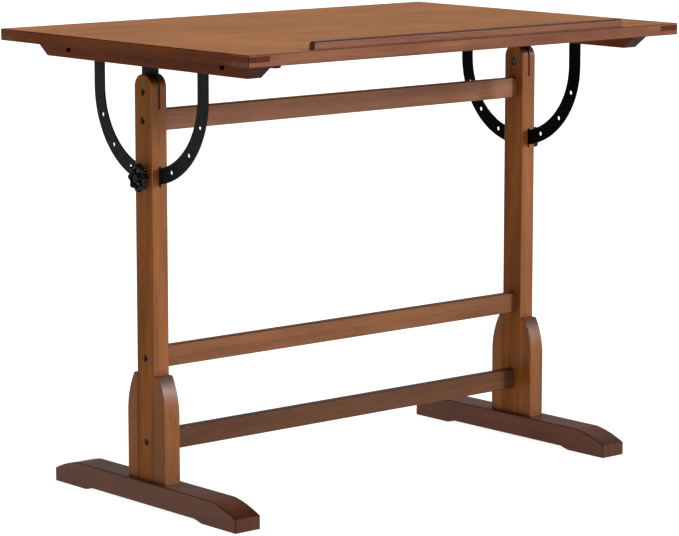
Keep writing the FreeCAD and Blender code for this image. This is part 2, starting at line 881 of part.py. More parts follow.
def build():
    """Write every node."""
    os.makedirs("parts", exist_ok=True)
    save("top_panel", [make_top_panel()])
    save("front_edging", [make_front_edging()])
    save("back_edging", [end_edging(1)])
    save("right_edging", [make_side_edging()])
    save("left_edging", [make_left_edging()])
    save("pencil_ledge", [make_pencil_ledge()])
    save("ledge_guide_pins", make_ledge_pins())
    save_copies("batten", make_batten())
    cleat = make_cleat()
    save("left_cleat", [cleat])
    save("right_cleat", [inboard(cleat)])
    save_pair("arc", make_arc())
    save_pair("pivot_plate", make_pivot_plate())
    save("batten_screws", with_copies(long_screw_tools()))
    save("pocket_screws", with_copies(pocket_screw_tools(False)))
    save("cleat_screws", all_cleat_screws())
    save("bracket_screws", with_copies(bracket_screw_tools()))
    save_pair("post", make_post())
    save_pair("front_cheek", make_cheek(-1))
    save_pair("back_cheek", make_cheek(1))
    save_pair("foot", make_foot())
    for name, place in zip(("top_rail", "middle_rail", "bottom_rail"), rail_places()):
        save(name, [make_rail(*place)])
    save("rail_bolts", both_sides([rail_bolt(y, z) for y, z in rail_places()]))
    save("rail_barrel_nuts", both_sides(make_barrel_nuts()))
    save("rail_dowels", both_sides(rail_dowel_tools()))
    save("cheek_dowels", both_sides(cheek_dowel_tools()))
    save("post_dowels", both_sides(post_dowel_tools()))
    save("foot_bolts", both_sides([foot_bolt(-1), foot_bolt(1)]))
    inserts = [foot_insert(side).cut(foot_bolt(side)) for side in (-1, 1)]
    save("foot_inserts", both_sides(inserts))
    save("pivot_bolts", both_sides([make_pivot_bolt()]))
    save("pivot_nuts", both_sides([make_pivot_nut()]))
    save("lock_inserts", both_sides([make_lock_insert()]))
    save_pair("lock_stud", make_lock_stud())
    save_pair("lock_washer", make_lock_washer())
    save_pair("handwheel", make_handwheel())


build()
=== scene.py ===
"""Drafting table: looks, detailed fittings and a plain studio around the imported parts."""

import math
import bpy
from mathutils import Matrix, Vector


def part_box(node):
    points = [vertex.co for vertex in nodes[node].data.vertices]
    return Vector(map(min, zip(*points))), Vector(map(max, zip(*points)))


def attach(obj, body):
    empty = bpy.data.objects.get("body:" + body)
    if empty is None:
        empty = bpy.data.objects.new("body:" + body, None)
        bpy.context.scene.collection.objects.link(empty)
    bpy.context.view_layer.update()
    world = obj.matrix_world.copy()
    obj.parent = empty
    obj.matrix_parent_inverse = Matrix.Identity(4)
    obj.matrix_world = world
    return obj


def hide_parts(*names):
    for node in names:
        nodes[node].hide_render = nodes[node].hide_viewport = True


bl_info = {
    "name": "Drafting Table",
    "version": (1, 0, 0),
    "blender": (4, 5, 0),
    "location": "View3D > Sidebar > Drafting Table",
    "description": "Dresses a tilting drafting table with lacquered wood, steel arcs and lock handwheels",
    "category": "Object",
}

import bpy
import numpy as np
from mathutils import Vector

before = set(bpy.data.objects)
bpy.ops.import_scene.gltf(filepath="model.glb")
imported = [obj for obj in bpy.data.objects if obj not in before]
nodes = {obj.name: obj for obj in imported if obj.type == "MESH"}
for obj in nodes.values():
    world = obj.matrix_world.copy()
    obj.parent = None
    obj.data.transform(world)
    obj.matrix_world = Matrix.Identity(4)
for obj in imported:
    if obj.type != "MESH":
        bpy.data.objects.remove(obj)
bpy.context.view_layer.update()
TURN = 2 * math.pi
EDGE_TONE = 0.18  # stain gathered on rounded edges, as a share of the dark grain
ARRIS_HIGHLIGHT_TONE = 1.9  # painted highlight on the upright edges that face the front left, as a multiple of the light grain
FRONT_LEFT = (-0.7071, -0.7071, 0.0)
SHADED_COAT = 0.3  # painted shade: the right arc and plate get this share of the left ones' tone
POCKET_TILT = 25.0
POCKET_SCREW_LENGTH = 0.0164
BOLT_HEAD = 0.0055
BOLT_FLATS = 0.005
BOLT_SOCKET = 0.003


# ---- sizes and colours -------------------------------------------------------------------

class TableSizes(bpy.types.PropertyGroup):
    """Sizes of the detailed fittings."""
    wheel_radius: bpy.props.FloatProperty(
        name="Wheel radius", description="Centre of the handwheel to the tip of a lobe",
        default=0.023, unit="LENGTH")
    rim_depth: bpy.props.FloatProperty(
        name="Rim depth", description="Depth of the handwheel's rim along its axis",
        default=0.012, unit="LENGTH")
    hub_start: bpy.props.FloatProperty(
        name="Hub start", description="Setback of the hub behind the rim's inner side",
        default=0.0018, unit="LENGTH")
    wheel_lobes: bpy.props.IntProperty(
        name="Wheel lobes", description="Finger lobes around the handwheel's rim", default=8, min=3)
    wheel_spokes: bpy.props.IntProperty(
        name="Wheel spokes", description="Spokes between hub and rim", default=5, min=2)
    casting_grain: bpy.props.FloatProperty(
        name="Casting grain", description="Size of the cells that blend the wheel into one casting",
        default=0.00042, unit="LENGTH")
    stud_pitch: bpy.props.FloatProperty(
        name="Stud pitch", description="Advance of the lock stud in one turn", default=0.001, unit="LENGTH")
    tip_length: bpy.props.FloatProperty(
        name="Tip length", description="Plain tip of the lock stud", default=0.004, unit="LENGTH")
    bolt_pitch: bpy.props.FloatProperty(
        name="Bolt pitch", description="Pitch of the frame bolts", default=0.001, unit="LENGTH")
    screw_pitch: bpy.props.FloatProperty(
        name="Screw pitch", description="Pitch of the wood screws", default=0.0018, unit="LENGTH")


class TableColours(bpy.types.PropertyGroup):
    """Colours of the finishes, as linear values."""
    top_light: bpy.props.FloatVectorProperty(
        name="Top light", description="Light grain of the drawing surface", subtype="COLOR",
        size=3, default=(0.3867, 0.1642, 0.0628))
    top_dark: bpy.props.FloatVectorProperty(
        name="Top dark", description="Dark grain of the drawing surface", subtype="COLOR",
        size=3, default=(0.2700, 0.1040, 0.0360))
    frame_light: bpy.props.FloatVectorProperty(
        name="Frame light", description="Light grain of the posts and cheeks", subtype="COLOR",
        size=3, default=(0.2638, 0.0873, 0.0180))
    frame_dark: bpy.props.FloatVectorProperty(
        name="Frame dark", description="Dark grain of the posts and cheeks", subtype="COLOR",
        size=3, default=(0.0931, 0.0272, 0.0042))
    rail_light: bpy.props.FloatVectorProperty(
        name="Rail light", description="Light grain of the rails", subtype="COLOR",
        size=3, default=(0.2520, 0.1034, 0.0440))
    rail_dark: bpy.props.FloatVectorProperty(
        name="Rail dark", description="Dark grain of the rails", subtype="COLOR",
        size=3, default=(0.1131, 0.0390, 0.0156))
    # painted shade: the feet get darker colours than the frame wood, for the dim light near the floor
    shaded_foot_light: bpy.props.FloatVectorProperty(
        name="Foot light", description="Light grain of the feet", subtype="COLOR",
        size=3, default=(0.1240, 0.0368, 0.0145))
    shaded_foot_dark: bpy.props.FloatVectorProperty(
        name="Foot dark", description="Dark grain of the feet", subtype="COLOR",
        size=3, default=(0.0475, 0.0127, 0.0050))
    # painted shade: the side edging and battens get darker colours than the front edging's wood, for the
    # sides that face away from the light
    shaded_side_light: bpy.props.FloatVectorProperty(
        name="Side light", description="Light grain of the side edging and battens", subtype="COLOR",
        size=3, default=(0.1701, 0.0430, 0.0110))
    shaded_side_dark: bpy.props.FloatVectorProperty(
        name="Side dark", description="Dark grain of the side edging and battens", subtype="COLOR",
        size=3, default=(0.0544, 0.0120, 0.0030))
    edging_light: bpy.props.FloatVectorProperty(
        name="Edging light", description="Light grain of the front and back edging and the ledge",
        subtype="COLOR", size=3, default=(0.2472, 0.0961, 0.0504))
    edging_dark: bpy.props.FloatVectorProperty(
        name="Edging dark", description="Dark grain of the front and back edging and the ledge",
        subtype="COLOR", size=3, default=(0.0785, 0.0262, 0.0131))
    dowel: bpy.props.FloatVectorProperty(
        name="Dowel", description="Bare beech of the dowels", subtype="COLOR",
        size=3, default=(0.55, 0.38, 0.21))
    black: bpy.props.FloatVectorProperty(
        name="Black coat", description="Powder coat of the arcs and plates", subtype="COLOR",
        size=3, default=(0.0044, 0.0043, 0.0043))
    enamel: bpy.props.FloatVectorProperty(
        name="Black enamel", description="Enamel of the handwheels", subtype="COLOR",
        size=3, default=(0.0012, 0.0012, 0.0012))
    oxide: bpy.props.FloatVectorProperty(
        name="Black oxide", description="Blackened steel of bolts and screws", subtype="COLOR",
        size=3, default=(0.045, 0.042, 0.040))
    steel: bpy.props.FloatVectorProperty(
        name="Zinc", description="Zinc-plated steel of studs, pins and washers", subtype="COLOR",
        size=3, default=(0.52, 0.52, 0.50))
    brass: bpy.props.FloatVectorProperty(
        name="Brass", description="Brass of the threaded inserts", subtype="COLOR",
        size=3, default=(0.62, 0.43, 0.16))


class TableStage(bpy.types.PropertyGroup):
    """Floor, lights and camera."""
    floor_colour: bpy.props.FloatVectorProperty(
        name="Floor", description="Colour of the studio floor", subtype="COLOR",
        size=3, default=(0.36, 0.36, 0.36))
    floor_glow: bpy.props.FloatProperty(
        name="Floor glow", description="Light given off by the translucent floor", default=0.92)
    room_strength: bpy.props.FloatProperty(
        name="Room light", description="Strength of the even light from all round", default=0.34)
    key_strength: bpy.props.FloatProperty(
        name="Key strength", description="Strength of the soft light in front on the right", default=3.0)
    top_strength: bpy.props.FloatProperty(
        name="Top strength", description="Strength of the soft light overhead", default=1.4)
    glint_strength: bpy.props.FloatProperty(
        name="Glint strength", description="Strength of the small light on the left", default=0.12)
    lens: bpy.props.FloatProperty(
        name="Lens", description="Focal length for a 36 mm wide frame, in millimetres", default=159.95)
    eye: bpy.props.FloatVectorProperty(
        name="Eye", description="Place of the camera", subtype="TRANSLATION", size=3,
        default=(-3.2250, -3.7503, 1.1420))
    heading: bpy.props.FloatProperty(
        name="Heading", description="Turn of the camera to the right of straight ahead",
        default=math.radians(40.63), subtype="ANGLE")
    dip: bpy.props.FloatProperty(
        name="Dip", description="Downward tilt of the camera", default=math.radians(9.24), subtype="ANGLE")


def sizes():
    """Sizes of the detailed fittings."""
    return bpy.context.scene.table_sizes


def colours():
    """Colours of the finishes."""
    return bpy.context.scene.table_colours


# ---- mesh making -------------------------------------------------------------------------

def tube(points):
    """Vertices and faces of a closed skin over rings.

    points is (rings, around, 3). Each ring joins the next, and each end ring closes with
    triangles on the mean of its points.
    """
    rings, around = points.shape[:2]
    i, j = np.meshgrid(np.arange(rings - 1), np.arange(around), indexing="ij")
    k = (j + 1) % around
    quads = np.stack([i * around + j, i * around + k, (i + 1) * around + k, (i + 1) * around + j], -1)
    step = np.arange(around)
    after = (step + 1) % around
    first, last = rings * around, rings * around + 1
    base = (rings - 1) * around
    low = np.stack([np.full(around, first), after, step], -1)
    high = np.stack([np.full(around, last), base + step, base + after], -1)
    vertices = np.concatenate([points.reshape(-1, 3), points[0].mean(0)[None], points[-1].mean(0)[None]])
    return vertices, quads.reshape(-1, 4), np.concatenate([low, high])


def loop(points):
    """Vertices and faces of a ring-shaped skin, closed both ways. points is (rings, around, 3)."""
    rings, around = points.shape[:2]
    i, j = np.meshgrid(np.arange(rings), np.arange(around), indexing="ij")
    n, k = (i + 1) % rings, (j + 1) % around
    quads = np.stack([i * around + j, i * around + k, n * around + k, n * around + j], -1)
    return points.reshape(-1, 3), quads.reshape(-1, 4), np.zeros((0, 3), int)


def enclosed(vertices, quads, triangles):
    """Signed volume: a sixth of the sum of the triple products over every face's triangles."""
    fans = np.concatenate([quads[:, [0, 1, 2]], quads[:, [0, 2, 3]], triangles])
    a, b, c = (vertices[fans[:, n]] for n in range(3))
    return np.einsum("ij,ij->i", a, np.cross(b, c)).sum() / 6


def piece(name, skins, body, stands_for, material, sharp=35.0):
    """One object from closed skins, all facing outwards, riding on a body in place of a CAD node."""
    vertices, faces, start = [], [], 0
    for skin_vertices, quads, triangles in skins:
        if enclosed(skin_vertices, quads, triangles) < 0:
            quads, triangles = quads[:, ::-1], triangles[:, ::-1]
        vertices.append(skin_vertices)
        faces += (quads + start).tolist() + (triangles + start).tolist()
        start += len(skin_vertices)
    mesh = bpy.data.meshes.new(name)
    mesh.from_pydata(np.concatenate(vertices).tolist(), [], faces)
    mesh.shade_smooth()
    mesh.set_sharp_from_angle(angle=math.radians(sharp))
    mesh.materials.append(material)
    obj = bpy.data.objects.new(name, mesh)
    bpy.context.scene.collection.objects.link(obj)
    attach(obj, body)
    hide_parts(stands_for)
    return obj


def aimed(points, start, axis):
    """Turn points whose first coordinate runs along the piece so that it runs along axis from start."""
    axis = np.array(axis, float)
    axis /= np.linalg.norm(axis)
    helper = np.array([0.0, 0.0, 1.0]) if abs(axis[2]) < 0.9 else np.array([0.0, 1.0, 0.0])
    side = np.cross(helper, axis)
    side /= np.linalg.norm(side)
    return points @ np.array([axis, side, np.cross(axis, side)]) + np.array(start)


def turned(stations, around=48):
    """Turned form: a ring of radius r stands at each distance x along the axis.

    stations is a list of (x, r). A point is (x, r cos a, r sin a).
    """
    x, r = np.array(stations, float).T
    a = np.linspace(0, TURN, around, endpoint=False)
    return np.stack([np.repeat(x[:, None], around, 1), np.outer(r, np.cos(a)), np.outer(r, np.sin(a))], -1)


def threaded(x0, x1, outer, depth, pitch, around=32, per_pitch=8):
    """Screw thread.

    The radius falls from outer by depth in a zigzag of (x / pitch - a / turn), and the
    zigzag fades out at both ends.
    """
    x = np.linspace(x0, x1, int((x1 - x0) / pitch * per_pitch) + 2)
    a = np.linspace(0, TURN, around, endpoint=False)
    phase = (x[:, None] / pitch - a[None, :] / TURN) % 1.0
    zigzag = np.abs(phase * 2 - 1)
    fade = np.clip(np.minimum(x - x0, x1 - x) / pitch, 0, 1)[:, None]
    r = outer - depth * (zigzag * fade + (1 - fade))
    return np.stack([np.repeat(x[:, None], around, 1), r * np.cos(a), r * np.sin(a)], -1)


def hexagonal(a, flats):
    """Radius at angle a of a hexagon: half its width across flats over the cosine to the nearest flat."""
    return flats / 2 / np.cos((a + math.pi / 6) % (math.pi / 3) - math.pi / 6)


def socket_head(x0, x1, radius, flats, deep, around=96):
    """Cap-screw head: knurled side, chamfered rim and a hexagon socket.

    Each ring blends from a circle to a hexagon by its own share, and the knurl adds a
    ripple of 36 waves to the side's radius.
    """
    a = np.linspace(0, TURN, around, endpoint=False)
    flat = hexagonal(a, flats)
    chamfer = radius * 0.12
    rings = [
        (x0, radius * 0.96, 0, 0), (x0 + chamfer * 0.5, radius, 0, 1), (x1 - chamfer * 1.6, radius, 0, 1),
        (x1 - chamfer, radius * 0.985, 0, 0), (x1 - chamfer * 0.3, radius - chamfer * 0.7, 0, 0),
        (x1, radius - chamfer * 1.5, 0, 0), (x1, flats * 0.66, 0, 0), (x1 - chamfer * 0.35, 1.0, 1, 0),
        (x1 - deep, 1.0, 1, 0), (x1 - deep * 1.12, 0.45, 1, 0),
    ]
    out = []
    for x, r, share, knurl in rings:
        ripple = 1 - 0.022 * knurl * (0.5 + 0.5 * np.sign(np.cos(a * 24)))
        ring = (flat * r if share else np.full(around, r)) * ripple
        out.append(np.stack([np.full(around, x), ring * np.cos(a), ring * np.sin(a)], -1))
    return np.array(out)


def driven_head(x0, x1, radius, rise, flat, around=64, rings=26):
    """Wood-screw head with a cross recess.

    The underside is flat or a cone from the shank to the rim. The cap's height follows a
    circle's bow, less a recess that deepens where the point lies within a slot's half
    width of either cross line.
    """
    a = np.linspace(0, TURN, around, endpoint=False)
    share = np.linspace(1, 0.02, rings)
    r = radius * share[:, None] * np.ones(around)
    y, z = r * np.cos(a), r * np.sin(a)
    crown = x1 + rise * (1 - share[:, None] ** 2)
    reach = np.clip((radius * 0.62 - r) / (radius * 0.18), 0, 1)
    near = np.minimum(np.abs(y), np.abs(z))
    slot = np.clip((radius * 0.195 - near) / (radius * 0.078), 0, 1)
    cap = np.stack([crown - radius * 0.42 * slot * reach, y, z], -1)
    below = [(x0, radius * 0.45), (x0, radius * 0.95), (x0 + radius * 0.06, radius)] if flat else \
        [(x0, radius * 0.45), (x1 - radius * 0.08, radius * 0.985)]
    return np.concatenate([turned(below, around), cap])


def hexagon_nut(x0, x1, flats, bore, around=96):
    """Chamfered hexagon nut as a ring-shaped skin.

    The outline runs up the bore, out over the chamfered face, along the flats and back.
    Each outer ring is the smaller of the hexagon and the chamfer's circle.
    """
    a = np.linspace(0, TURN, around, endpoint=False)
    flat = hexagonal(a, flats)
    corner = flats / 2 / math.cos(math.pi / 6)
    edge = (corner - flats / 2) * 0.6
    outline = [(x0, bore), (x0, flats * 0.47), (x0 + edge, corner), (x1 - edge, corner), (x1, flats * 0.47),
               (x1, bore), ((x0 + x1) / 2, bore)]
    out = []
    for x, r in outline:
        ring = np.minimum(flat, r) if r > bore else np.full(around, r)
        out.append(np.stack([np.full(around, x), ring * np.cos(a), ring * np.sin(a)], -1))
    return np.array(out)


def clusters(points, gaps):
    """Split points into groups wherever they leave a gap longer than allowed along an axis."""
    for axis in range(3):
        order = points[points[:, axis].argsort()]
        breaks = np.nonzero(np.diff(order[:, axis]) > gaps[axis])[0] + 1
        if len(breaks):
            return [group for part in np.split(order, breaks) for group in clusters(part, gaps)]
    return [points]


def members(name, along):
    """Low and high corner of every single fastener of a CAD node whose fasteners run along an axis."""
    obj = nodes[name]
    flat = np.empty(len(obj.data.vertices) * 3)
    obj.data.vertices.foreach_get("co", flat)
    turn = np.array(obj.matrix_world)
    points = flat.reshape(-1, 3) @ turn[:3, :3].T + turn[:3, 3]
    gaps = [0.004, 0.004, 0.004]
    gaps["XYZ".index(along)] = 0.2
    return [(group.min(0), group.max(0)) for group in clusters(points, gaps)]


# ---- materials ---------------------------------------------------------------------------

class Nodes:
    """Short hand for building one material's node tree.

    fill() links a socket or sets its constant; math(), noise(), spread() and mix() each add
    one node and return its output; bump() drives the shader's normal.
    """

    def __init__(self, name):
        self.material = bpy.data.materials.new(name)
        self.material.use_nodes = True
        self.tree = self.material.node_tree
        self.shader = self.tree.nodes["Principled BSDF"]
        self.place = self.add("ShaderNodeTexCoord").outputs["Object"]

    def add(self, kind, **settings):
        node = self.tree.nodes.new(kind)
        for key, value in settings.items():
            setattr(node, key, value)
        return node

    def link(self, source, target):
        self.tree.links.new(source, target)

    def fill(self, socket, value):
        if isinstance(value, bpy.types.NodeSocket):
            self.link(value, socket)
        else:
            socket.default_value = value

    def math(self, operation, a, b=0.0):
        node = self.add("ShaderNodeMath", operation=operation)
        self.fill(node.inputs[0], a)
        self.fill(node.inputs[1], b)
        return node.outputs[0]

    def scaled(self, scale, shift=0.0):
        """Object coordinates scaled along each axis and moved by the same shift along all three."""
        node = self.add("ShaderNodeMapping")
        self.link(self.place, node.inputs["Vector"])
        node.inputs["Location"].default_value = (shift, shift, shift)
        node.inputs["Scale"].default_value = scale
        return node.outputs["Vector"]

    def noise(self, vector, scale, detail=2.0, rough=0.5, distortion=0.0):
        node = self.add("ShaderNodeTexNoise")
        self.link(vector, node.inputs["Vector"])
        node.inputs["Scale"].default_value = scale
        node.inputs["Detail"].default_value = detail
        node.inputs["Roughness"].default_value = rough
        node.inputs["Distortion"].default_value = distortion
        return node.outputs["Fac"]

    def spread(self, value, low, high, to_low=0.0, to_high=1.0):
        node = self.add("ShaderNodeMapRange")
        self.fill(node.inputs["Value"], value)
        for key, number in (("From Min", low), ("From Max", high), ("To Min", to_low), ("To Max", to_high)):
            node.inputs[key].default_value = number
        return node.outputs["Result"]

    def mix(self, share, a, b, blend="MIX"):
        node = self.add("ShaderNodeMix", data_type="RGBA", blend_type=blend)
        self.fill(node.inputs["Factor"], share)
        for socket, value in ((node.inputs["A"], a), (node.inputs["B"], b)):
            colour_socket = [s for s in node.inputs if s.name == socket.name and s.type == "RGBA"][0]
            self.fill(colour_socket, value if isinstance(value, bpy.types.NodeSocket) else (*value, 1.0))
        return [s for s in node.outputs if s.type == "RGBA"][0]

    def bump(self, height, strength, distance):
        node = self.add("ShaderNodeBump")
        node.inputs["Strength"].default_value = strength
        node.inputs["Distance"].default_value = distance
        self.link(height, node.inputs["Height"])
        self.link(node.outputs["Normal"], self.shader.inputs["Normal"])

    def combine_grey(self, value):
        """A grey colour from one number."""
        node = self.add("ShaderNodeCombineColor")
        for socket in node.inputs:
            self.fill(socket, value)
        return node.outputs[0]

    def coordinates(self, which):
        """Another output of the texture coordinates."""
        return self.add("ShaderNodeTexCoord").outputs[which]


def along_grain(along, share):
    """Scale that stretches a texture along the grain."""
    scale = [1.0, 1.0, 1.0]
    scale["XYZ".index(along)] = share
    return scale


def grain(n, along, light, dark, fine, shift=0.0):
    """Colour, streaks, fibres and pores of stained wood with its grain along one axis.

    Broad bands, ring streaks and fine fibres are noises stretched along the grain; short
    dark pores are a thresholded noise.
    """
    run = n.scaled(along_grain(along, 0.07), shift)
    broad = n.noise(run, 9.0, 2.0, 0.5, 0.6)
    streak = n.noise(run, 62.0 * fine, 4.0, 0.62, 0.35)
    fibre = n.noise(run, 420.0 * fine, 3.0, 0.6)
    tone = n.math("ADD", n.math("MULTIPLY", n.spread(broad, 0.3, 0.7), 0.34),
                  n.math("MULTIPLY", n.spread(streak, 0.28, 0.72), 0.42))
    tone = n.math("ADD", tone, n.math("MULTIPLY", n.spread(fibre, 0.3, 0.7), 0.24))
    base = n.mix(tone, dark, light)
    across = {"X": "Y", "Y": "X", "Z": "DIAGONAL"}[along]
    ring = n.add("ShaderNodeTexWave", wave_type="BANDS", bands_direction=across)
    n.link(run, ring.inputs["Vector"])
    ring.inputs["Scale"].default_value = 13.0 * fine
    ring.inputs["Distortion"].default_value = 7.0
    ring.inputs["Detail"].default_value = 3.0
    ring.inputs["Detail Scale"].default_value = 1.6
    base = n.mix(1.0, base, n.combine_grey(n.spread(ring.outputs["Fac"], 0.0, 1.0, 0.86, 1.05)), "MULTIPLY")
    cloud = n.spread(n.noise(n.place, 5.0, 3.0, 0.55), 0.3, 0.7, 0.84, 1.12)
    base = n.mix(1.0, base, n.combine_grey(cloud), "MULTIPLY")
    pores = n.spread(n.noise(n.scaled(along_grain(along, 0.035)), 900.0 * fine, 1.0, 0.5), 0.62, 0.74)
    base = n.mix(n.math("MULTIPLY", pores, 0.45), base, tuple(c * 0.45 for c in dark))
    return base, streak, fibre, pores


def wood(name, along, pair, gloss, coat, sheen, fine=1.0, veneer=None, edges=0.85, arris_highlight=0.0,
         painted_sheen_sides=1.0, shift=0.0):
    """Stained and lacquered wood.

    Faces square to the grain show end grain. Rounded edges, where the normal leans away
    from every axis, hold more stain by the share in edges. Upright edges that face the
    front left may carry a painted highlight, lighter than the light grain. With a veneer
    pair, faces that look up carry it. Faces square to X get less sheen than the rest,
    by the share given for the sides: a painted sheen, left full on the faces that look
    to the front or back.
    """
    n = Nodes(name)
    base, streak, fibre, pores = grain(n, along, *pair, fine, shift)
    normal = n.coordinates("Normal")
    facing = n.add("ShaderNodeSeparateXYZ")
    n.link(normal, facing.inputs[0])
    lean = {key: n.math("ABSOLUTE", facing.outputs[key]) for key in "XYZ"}
    square = n.spread(lean[along], 0.85, 0.97)
    dots = n.spread(n.noise(n.place, 700.0, 2.0, 0.6), 0.42, 0.62, 0.55, 0.85)
    base = n.mix(square, base, n.mix(1.0, base, n.combine_grey(dots), "MULTIPLY"))
    if veneer:
        over = grain(n, "X", *veneer, 0.8)[0]
        base = n.mix(n.spread(facing.outputs["Z"], 0.55, 0.8), base, over)
    most = n.math("MAXIMUM", n.math("MAXIMUM", lean["X"], lean["Y"]), lean["Z"])
    stained = n.math("MULTIPLY", n.spread(most, 0.98, 0.89), edges)
    base = n.mix(stained, base, tuple(c * EDGE_TONE for c in pair[1]))
    # painted highlight: upright edges that face the front left are lightened towards the light grain
    if arris_highlight:
        toward = n.add("ShaderNodeVectorMath", operation="DOT_PRODUCT")
        n.link(normal, toward.inputs[0])
        toward.inputs[1].default_value = FRONT_LEFT
        painted_highlight = n.math("MULTIPLY", n.spread(toward.outputs["Value"], 0.90, 0.97), arris_highlight)
        base = n.mix(painted_highlight, base, tuple(min(1.0, c * ARRIS_HIGHLIGHT_TONE) for c in pair[0]))
    n.link(base, n.shader.inputs["Base Color"])
    open_grain = n.math("ADD", streak, n.math("MULTIPLY", pores, 0.5))
    rough = n.spread(open_grain, 0.3, 1.1, gloss - 0.05, gloss + 0.14)
    n.link(rough, n.shader.inputs["Roughness"])
    n.bump(n.math("SUBTRACT", n.math("MULTIPLY", fibre, 0.5), pores), 0.22, 0.00012)
    # painted sheen: full specular on faces that look to the front or back, less on the rest
    if painted_sheen_sides < 1.0:
        n.link(n.spread(lean["Y"], 0.3, 0.8, sheen * painted_sheen_sides, sheen), n.shader.inputs["Specular IOR Level"])
    else:
        n.shader.inputs["Specular IOR Level"].default_value = sheen
    n.shader.inputs["Coat Weight"].default_value = coat
    n.shader.inputs["Coat Roughness"].default_value = 0.12
    n.shader.inputs["Coat IOR"].default_value = 1.42
    return n.material


def shaded(pair, share):
    """A light and a dark grain colour, both multiplied by a share, for a lighter or darker copy of one wood
    as painted light or shade.
    """
    return tuple(tuple(value * share for value in colour) for colour in pair)


def metal(name, colour, metallic, rough, grain=600.0, relief=0.05, coat=0.0, wear=0.25, sheen=0.5,
          gloss=0.06):
    """Metal or coated metal with a fine mottled finish: two noises vary its colour, roughness and relief."""
    n = Nodes(name)
    fine = n.noise(n.place, grain, 3.0, 0.6)
    broad = n.noise(n.place, grain * 0.06, 3.0, 0.55)
    lighter = tuple(min(1.0, c * (1 + wear) + 0.002) for c in colour)
    darker = tuple(c * (1 - wear) for c in colour)
    mottle = n.math("ADD", n.math("MULTIPLY", fine, 0.4), n.math("MULTIPLY", broad, 0.6))
    base = n.mix(n.spread(mottle, 0.3, 0.7), darker, lighter)
    n.link(base, n.shader.inputs["Base Color"])
    n.link(n.spread(broad, 0.3, 0.7, rough * 0.8, rough * 1.25), n.shader.inputs["Roughness"])
    n.bump(fine, relief, 0.00008)
    n.shader.inputs["Metallic"].default_value = metallic
    n.shader.inputs["Specular IOR Level"].default_value = sheen
    n.shader.inputs["Coat Weight"].default_value = coat
    n.shader.inputs["Coat Roughness"].default_value = gloss
    return n.material


def finish(material, names):
    """Give CAD nodes a material in every slot they have."""
    for name in names:
        data = nodes[name].data
        if not data.materials:
            data.materials.append(material)
        for index in range(len(data.materials)):
            data.materials[index] = material


# ---- operators ---------------------------------------------------------------------------

class TABLE_OT_wood(bpy.types.Operator):
    """Stain and lacquer the wooden parts, with the grain along each board."""
    bl_idname = "table.wood"
    bl_label = "Wooden parts"

    def execute(self, context):
        c = colours()
        top = tuple(c.top_light), tuple(c.top_dark)
        edging = tuple(c.edging_light), tuple(c.edging_dark)
        side = tuple(c.shaded_side_light), tuple(c.shaded_side_dark)
        body = tuple(c.frame_light), tuple(c.frame_dark)
        foot = tuple(c.shaded_foot_light), tuple(c.shaded_foot_dark)
        rail = tuple(c.rail_light), tuple(c.rail_dark)
        finish(wood("panel_wood", "X", top, 0.60, 0.0, 0.06, 0.8), ["top_panel"])
        finish(wood("edging_wood_across", "X", edging, 0.55, 0.0, 0.07, veneer=top, shift=2.3),
               ["front_edging", "back_edging"])
        finish(wood("ledge_wood", "X", edging, 0.42, 0.03, 0.12), ["pencil_ledge"])
        # painted shade: the side edging and, a little darker still, the battens use the darker side colours
        finish(wood("edging_wood_shaded", "Y", side, 0.55, 0.0, 0.05, veneer=top, shift=1.1),
               ["left_edging", "right_edging"])
        finish(wood("batten_wood_shaded", "Y", shaded(side, 0.95), 0.5, 0.0, 0.04),
               ["left_batten", "right_batten", "left_cleat", "right_cleat"])
        cheeks = [side + part for side in ("left_", "right_") for part in ("front_cheek", "back_cheek")]
        # painted light and shade: the right post's wood is a darker copy and the cheeks' wood a lighter copy
        # of the frame wood
        for name, share, painted_sheen_sides, parts in (("left_post_wood", 1.0, 0.12, ["left_post"]),
                                          ("right_post_wood_shaded", 0.88, 0.12, ["right_post"]),
                                          ("cheek_wood_lit", 1.04, 0.4, cheeks)):
            finish(wood(name, "Z", shaded(body, share), 0.38, 0.02, 0.20, arris_highlight=0.6, painted_sheen_sides=painted_sheen_sides), parts)
        # painted shade: the darker foot colours stand in for the dim light low down
        finish(wood("foot_wood_shaded", "Y", foot, 0.34, 0.13, 0.10), ["left_foot", "right_foot"])
        # painted light and shade: the rails share one wood, lighter and with more sheen on the top rail as a
        # painted reflection, darker on the middle rail and darkest on the bottom rail
        finish(wood("high_rail_wood_lit", "X", shaded(rail, 1.12), 0.46, 0.05, 0.30), ["top_rail"])
        finish(wood("rail_wood", "X", shaded(rail, 0.82), 0.40, 0.02, 0.08), ["middle_rail"])
        finish(wood("low_rail_wood_shaded", "X", shaded(rail, 0.46), 0.38, 0.05, 0.10), ["bottom_rail"])
        bare = tuple(c.dowel)
        finish(wood("dowel_beech", "X", (bare, tuple(v * 0.8 for v in bare)), 0.6, 0.0, 0.2),
               ["rail_dowels", "cheek_dowels", "post_dowels"])
        return {"FINISHED"}


